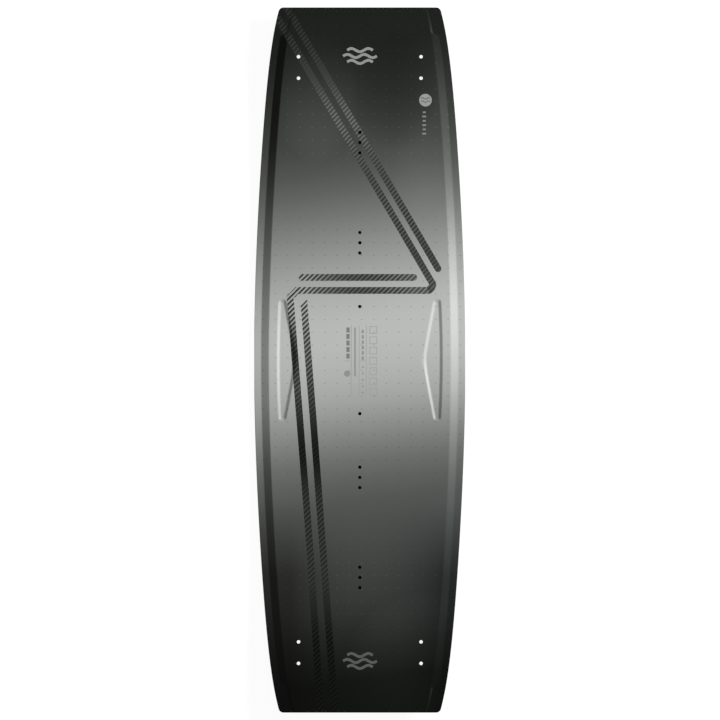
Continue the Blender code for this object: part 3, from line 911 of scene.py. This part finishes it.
def tiled(poly, step=TILE):
    """A convex polygon cut into small ones along both axes, so that it can follow the deck."""
    parts = [poly]
    for nx, ny in ((0, 1), (1, 0)):
        cut = []
        for part in parts:
            values = [nx * x + ny * y for x, y in part]
            low, high = min(values), max(values)
            first, last = math.floor(low / step), math.ceil(high / step)
            for k in range(first, last):
                piece = clipped(clipped(part, nx, ny, (k + 1) * step), -nx, -ny, -k * step)
                if len(piece) > 2 and polygon_area(piece) > MIN_TILE_AREA:
                    cut.append(piece)
        parts = cut
    return parts


def polygon_area(poly):
    edges = zip(poly, poly[1:] + poly[:1])
    return abs(sum(ax * by - bx * ay for (ax, ay), (bx, by) in edges)) / 2


def on_board(poly):
    """A convex polygon cut off at the board's two ends."""
    for s in (-1, 1):
        poly = clipped(poly, 0, s, HALF_LENGTH - INK_END_MARGIN) if poly else poly
    return poly


def centre_of(part):
    return sum(p[0] for p in part) / len(part), sum(p[1] for p in part) / len(part)


def opened(parts):
    """Small polygons with those over a hole left out, cut finer beside a hole."""
    kept = []
    for part in parts:
        cx, cy = centre_of(part)
        near = [h for h in all_holes if math.hypot(cx - h[0], cy - h[1]) < h[2] + FINE_ROUND_HOLE]
        if not near:
            kept.append(part)
            continue
        for bit in tiled(part, HOLE_TILE):
            bx, by = centre_of(bit)
            if all(math.hypot(bx - h[0], by - h[1]) > h[2] + HOLE_MARGIN for h in near):
                kept.append(bit)
    return kept


def by_grip(x, y):
    return abs(y) < GRIP_HALF_LENGTH + BY_GRIP_PAST and BY_GRIP_FROM < abs(x) < BY_GRIP_TO


def finer_by_grips(parts):
    """Small polygons, cut finer where they cross a grip recess."""
    kept = []
    for part in parts:
        kept += tiled(part, GRIP_TILE) if by_grip(*part[0]) else [part]
    return kept


def film(name, polys, material, lift=MARK_LIFT, step=TILE):
    """Ink: one open sheet made of many small polygons, lifted just off the deck."""
    bm = bmesh.new()
    for poly in polys:
        for part in finer_by_grips(opened(tiled(poly, step))):
            xs = np.array([p[0] for p in part])
            ys = np.array([p[1] for p in part])
            past_side = np.abs(xs) > edge_half(ys) - INK_SIDE_MARGIN
            if past_side.any() or (np.abs(ys) > HALF_LENGTH - INK_END_MARGIN).any():
                continue
            zs = deck_z(xs, ys) + lift + (GRIP_LIFT if by_grip(xs[0], ys[0]) else 0.0)
            face = bm.faces.new([bm.verts.new(p) for p in zip(xs, ys, zs)])
            face.normal_update()
            if face.normal.z < 0:
                face.normal_flip()
    bmesh.ops.remove_doubles(bm, verts=bm.verts, dist=0.00001)
    mesh = bpy.data.meshes.new(name)
    bm.to_mesh(mesh)
    bm.free()
    mesh.materials.append(material)
    for polygon in mesh.polygons:
        polygon.use_smooth = True
    obj = add_object(name, mesh)
    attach(obj, "root")


STRIPE = 0.0133
HATCH = 0.00979  # from bar to bar, along X
HATCH_SHARE = 0.54
HATCH_START = 0.0019
MIN_BAR_AREA, MIN_BAR_SPREAD = 1e-8, 0.0016
SHARPEST_MITRE = 0.3


def strip(points, width=STRIPE, cut_start=None, cut_end=None):
    """The quads of a mitred strip along a line of points. A cut turns an end by radians."""
    pts = [Vector(p) for p in points]
    sides = []
    for i, p in enumerate(pts):
        ahead = (pts[min(i + 1, len(pts) - 1)] - pts[min(i, len(pts) - 2)]).normalized()
        behind = (pts[max(i, 1)] - pts[max(i - 1, 0)]).normalized()
        normal = Vector((-ahead.y, ahead.x))
        mitre = (normal + Vector((-behind.y, behind.x))).normalized()
        cut = cut_start if i == 0 else cut_end if i == len(pts) - 1 else None
        if cut is not None:
            mitre = Vector((math.cos(cut), math.sin(cut)))
            mitre = mitre if mitre.dot(normal) > 0 else -mitre
        reach = width / 2 / max(SHARPEST_MITRE, mitre.dot(normal))
        sides.append((tuple(p + mitre * reach), tuple(p - mitre * reach)))
    return [[a[0], a[1], b[1], b[0]] for a, b in zip(sides, sides[1:])]


def half_round(centre, ahead, radius=STRIPE / 2, sides=10):
    """The half disc past the end of a strip that runs along ahead."""
    turn = math.atan2(ahead[1], ahead[0]) - math.pi / 2
    return [(centre[0] + radius * math.cos(turn + math.pi * i / sides),
             centre[1] + radius * math.sin(turn + math.pi * i / sides)) for i in range(sides + 1)]


def hatched(polys):
    """The bars that cross a stripe: 45 degree lines, the same all over the board."""
    bars = []
    for poly in polys:
        values = [x - y - HATCH_START for x, y in poly]
        for k in range(math.floor(min(values) / HATCH), math.ceil(max(values) / HATCH)):
            low = k * HATCH + HATCH_START
            bar = clipped(clipped(poly, 1, -1, low + HATCH * HATCH_SHARE), -1, 1, -low)
            if len(bar) < 3 or polygon_area(bar) <= MIN_BAR_AREA:
                continue
            spread = [x - y for x, y in bar]
            if max(spread) - min(spread) > MIN_BAR_SPREAD:
                bars.append(bar)
    return bars


CORNER_CUT, TURN_CUT = math.radians(112.5), math.radians(13)
diagonal = (0.3130, -0.5370)
upper = strip([(-0.1660, 0.6787), (0.1430, 0.1492)], cut_end=TURN_CUT)
upper.append([  # the pointed corner at the right
    (0.1310, 0.1431), (0.1362, 0.1480), (0.1499, 0.1511),
    (0.1500, 0.1465), (0.1464, 0.1370), (0.1394, 0.1300),
])
upper += strip([(-0.1445, 0.6928), (0.1535, 0.1790)])
upper.append(half_round((0.1535, 0.1790), diagonal))
cross = strip([(0.1386, 0.1365), (-0.1230, 0.1365)], cut_end=CORNER_CUT)
cross += strip([(-0.1130, 0.1620), (0.1060, 0.1620)])
cross += [half_round((-0.1130, 0.1620), (-1, 0)), half_round((0.1060, 0.1620), (1, 0))]
lower_outer = strip([
    (-0.1230, 0.1365), (-0.1364, 0.1230), (-0.1175, -0.1174), (-0.0975, -0.3719),
    (-0.0769, -0.6895),
], cut_start=CORNER_CUT)
INNER_STRIPE_CUT = 0.2221  # its upper end is cut at 45 degrees
lower_inner = [
    clipped(quad, -1, 1, INNER_STRIPE_CUT)
    for quad in strip([(-0.1118, 0.1400), (-0.0912, -0.1174), (-0.0486, -0.6895)])
]

# the two lower stripes have the same tones up to the grip recess that one of them crosses; over the
# recess the outer stripe's fill and bars are darker, painted shade of the recess's wall
lower_fill = (
    (-0.69, 1), (-0.61, 1), (-0.58, 2), (-0.55, 8), (-0.52, 22), (-0.49, 36), (-0.46, 46),
    (-0.435, 57), (-0.40, 62), (-0.32, 63), (-0.285, 63), (-0.255, 52), (-0.225, 35),
    (-0.20, 22), (-0.17, 20), (-0.144, 34), (-0.115, 52), (-0.09, 67),
)
lower_bars = (
    (-0.69, 23), (-0.61, 23), (-0.58, 26), (-0.55, 28), (-0.52, 33), (-0.49, 36), (-0.44, 41),
    (-0.32, 38), (-0.255, 37), (-0.20, 33), (-0.144, 35), (-0.115, 42), (-0.06, 51),
)
lower_blend = ((0.06, 1.0), (0.11, 0.45), (0.14, 0.0))
cross_blend = ((-0.135, 0.0), (-0.11, 0.35), (-0.085, 1.0))

# name, polygons, the axis of the tones, the ink's share, tones of the fill and of the bars
groups = (
    ("upper", upper, "y", ALL_INK, greys(
        (0.140, 100), (0.165, 89), (0.187, 79), (0.21, 76), (0.26, 90), (0.285, 94),
        (0.335, 88), (0.36, 83), (0.41, 94), (0.435, 106), (0.46, 113), (0.485, 112),
        (0.51, 97), (0.535, 78), (0.56, 63), (0.587, 49), (0.61, 39), (0.65, 33), (0.69, 36),
    ), greys(
        (0.140, 66), (0.165, 62), (0.21, 56), (0.26, 52), (0.31, 54), (0.36, 58), (0.41, 63),
        (0.46, 72), (0.51, 70), (0.56, 63), (0.61, 57), (0.65, 53), (0.69, 48),
    )),
    # from about y -0.05 to 0.07 this stripe's fill and bars are darker than the inner one's:
    # painted shade where it runs down the grip recess's wall
    ("lower_outer", lower_outer, "y", lower_blend, greys(
        *lower_fill, (-0.065, 84), (-0.045, 94), (-0.015, 78), (0.015, 62), (0.045, 92),
        (0.07, 138), (0.10, 155),
    ), greys(*lower_bars, (-0.015, 46), (0.015, 40), (0.045, 50), (0.07, 60), (0.14, 60))),
    ("lower_inner", lower_inner, "y", lower_blend, greys(
        *lower_fill, (-0.06, 84), (-0.03, 103), (0.0, 118), (0.04, 136), (0.07, 148), (0.10, 155),
    ), greys(*lower_bars, (0.0, 58), (0.07, 62), (0.14, 60))),
    ("cross", cross, "x", cross_blend, greys(
        (-0.120, 160), (-0.103, 150), (-0.074, 128), (-0.045, 105), (-0.015, 90), (0.014, 93),
        (0.044, 106), (0.073, 119), (0.102, 124), (0.14, 124),
    ), greys(
        (-0.140, 58), (-0.103, 66), (-0.074, 64), (-0.045, 61), (-0.015, 55), (0.014, 52),
        (0.044, 54), (0.073, 60), (0.102, 71), (0.14, 76),
    )),
)
for name, polys, along, blend, fill_tones, bar_tones in groups:
    polys = [p for p in (on_board(list(poly)) for poly in polys) if len(p) > 2]
    fill_ink = ink_material(f"ink_fill_{name}", fill_tones, along, blend)
    film(f"stripe_{name}_fill", polys, fill_ink, FILL_LIFT)
    bar_ink = ink_material(f"ink_bars_{name}", bar_tones, along)
    film(f"stripe_{name}_bars", hatched(polys), bar_ink, BAR_LIFT)


# ---- Generic printed marks: waves, a plain badge and plain bars, no lettering ---------
def box_poly(x, y, width, length):
    return [(x - width / 2, y - length / 2), (x + width / 2, y - length / 2),
            (x + width / 2, y + length / 2), (x - width / 2, y + length / 2)]


def wave(cx, cy, length, swing, width, waves=2.0, steps=28):
    points = []
    for i in range(steps + 1):
        t = i / steps
        points.append((cx + (t - 0.5) * length, cy + swing * math.sin(2 * math.pi * waves * t)))
    return strip(points, width)


def disc(cx, cy, radius, sides=28):
    turns = [2 * math.pi * i / sides for i in range(sides)]
    return [(cx + radius * math.cos(turn), cy + radius * math.sin(turn)) for turn in turns]


def frame_polys(x, y, width, length, line):
    """The four bars of a rectangle's outline."""
    up, out, left = (length - line) / 2, (width - line) / 2, length - 2 * line
    return [
        box_poly(x, y + up, width, line), box_poly(x, y - up, width, line),
        box_poly(x - out, y, line, left), box_poly(x + out, y, line, left),
    ]


def mark_material(name, level):
    return ink_material(name, greys((-0.7, level), (0.7, level + 0.01)))


WAVE_PITCH, WAVE_ROWS = 0.0115, ((-1, 0.050), (0, 0.066), (1, 0.050))
for name, cy, level in (("wave_mark_nose", 0.5953, 150), ("wave_mark_tail", -0.5892, 92)):
    quads = []
    for row, length in WAVE_ROWS:
        quads += wave(0.0004, cy + row * WAVE_PITCH, length, 0.0032, 0.0052, length / 0.033)
    film(name, quads, mark_material(f"ink_{name}", level), MARK_LIFT_OVER, 0.006)

BADGE_X = 0.1286
badge_waves = []
for cy in (0.5125, 0.5060):
    badge_waves += wave(BADGE_X, cy, 0.0180, 0.0016, 0.0020, 1.5, 14)
badge_bars = [
    box_poly(0.1262, 0.4855 - 0.0084 * i, 0.0078 if i % 2 else 0.0058, 0.0030) for i in range(6)
]
film("badge", [disc(BADGE_X, 0.5091, 0.0124)], mark_material("ink_badge", 156))
film("badge_waves", badge_waves, mark_material("ink_badge_waves", 112), MARK_LIFT_TOP)
film("badge_bars", badge_bars, mark_material("ink_badge_bars", 140))

PANEL_Y = -0.0018
middle_dark = [box_poly(-0.0231, 0.0590 - 0.0128 * i, 0.0064, 0.0098) for i in range(5)]
middle_mid = [disc(-0.0247, -0.0267, 0.0062), box_poly(-0.0094, 0.0158, 0.0030, 0.0960)]
middle_mid += [box_poly(0.0059, 0.0560 - 0.0105 * i, 0.0040, 0.0070) for i in range(6)]
middle_mid += [box_poly(0.0059, -0.0140 - 0.0125 * i, 0.0034, 0.0034) for i in range(5)]
middle_faint = [box_poly(x, PANEL_Y, 0.0012, 0.1400) for x in (-0.0166, -0.0012, 0.0128)]
middle_faint += [box_poly(-0.0240, PANEL_Y, 0.0130, 0.0012)]
middle_faint += [box_poly(0.0056, PANEL_Y, 0.0110, 0.0012)]
for i in range(7):
    middle_faint += frame_polys(0.0264, 0.0590 - 0.0202 * i, 0.0150, 0.0146, 0.0014)
film("panel_bars_dark", middle_dark, mark_material("ink_panel_dark", 128))
film("panel_bars", middle_mid, mark_material("ink_panel", 148))
film("panel_lines", middle_faint, mark_material("ink_panel_lines", 162), MARK_LIFT_OVER)

# ---- Floor, light and camera ---------------------------------------------------------
FLOOR_GLOW, FLOOR_DROP, FLOOR_HALF = 0.93, 0.0005, 8.0
floor_shade = Shade("studio_floor", roughness=0.9, specular=0.1)
haze = floor_shade.noise(2.0, 2.0, 0.5)
floor_shade.set("Base Color", floor_shade.ramp(haze, [(0.3, grey(0.11)), (0.7, grey(0.13))]))
floor_shade.set("Emission Color", grey(1.0))
floor_shade.set("Emission Strength", FLOOR_GLOW)
bm = bmesh.new()
bmesh.ops.create_grid(bm, x_segments=8, y_segments=8, size=FLOOR_HALF)
floor_mesh = bpy.data.meshes.new("floor")
bm.to_mesh(floor_mesh)
bm.free()
floor_mesh.materials.append(floor_shade.material)
floor = add_object("floor", floor_mesh)
floor.location = (0.0, 0.0, -FLOOR_DROP)
floor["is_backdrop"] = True


def area_light(name, place, size, power):
    """A round light that faces the middle of the board."""
    data = bpy.data.lights.new(name, "AREA")
    data.shape = "DISK"
    data.size = size
    data.energy = power
    obj = add_object(name, data)
    obj.location = place
    obj.rotation_mode = "QUATERNION"
    obj.rotation_quaternion = (-Vector(place)).to_track_quat("-Z", "Y")


area_light("key", Vector((0.8138, 0.2962, 0.5)) * 9.0, 2.8, 1070)
area_light("fill_nose", (0.3, 4.6, 3.9), 2.4, 56)
area_light("fill_tail", (-0.3, -4.6, 3.9), 2.4, 60)
world = bpy.context.scene.world or bpy.data.worlds.new("studio")
bpy.context.scene.world = world
world.use_nodes = True
background = world.node_tree.nodes["Background"]
background.inputs["Color"].default_value = grey(1.0)
background.inputs["Strength"].default_value = 0.14

LENS, SENSOR = 400.0, 36.0
PHOTO_PIXELS, BOARD_PIXELS = 720, 704.9
AIM_X, AIM_Y, AIM_HEIGHT = 0.0004, 0.0001, 0.036
camera_data = bpy.data.cameras.new("camera")
camera_data.lens = LENS
camera_data.sensor_width = SENSOR
camera = add_object("camera", camera_data)
view_height = LENGTH / (BOARD_PIXELS / PHOTO_PIXELS)
camera.location = (AIM_X, AIM_Y, AIM_HEIGHT + view_height * LENS / SENSOR)
bpy.context.scene.camera = camera
bpy.context.scene.view_settings.view_transform = "Standard"
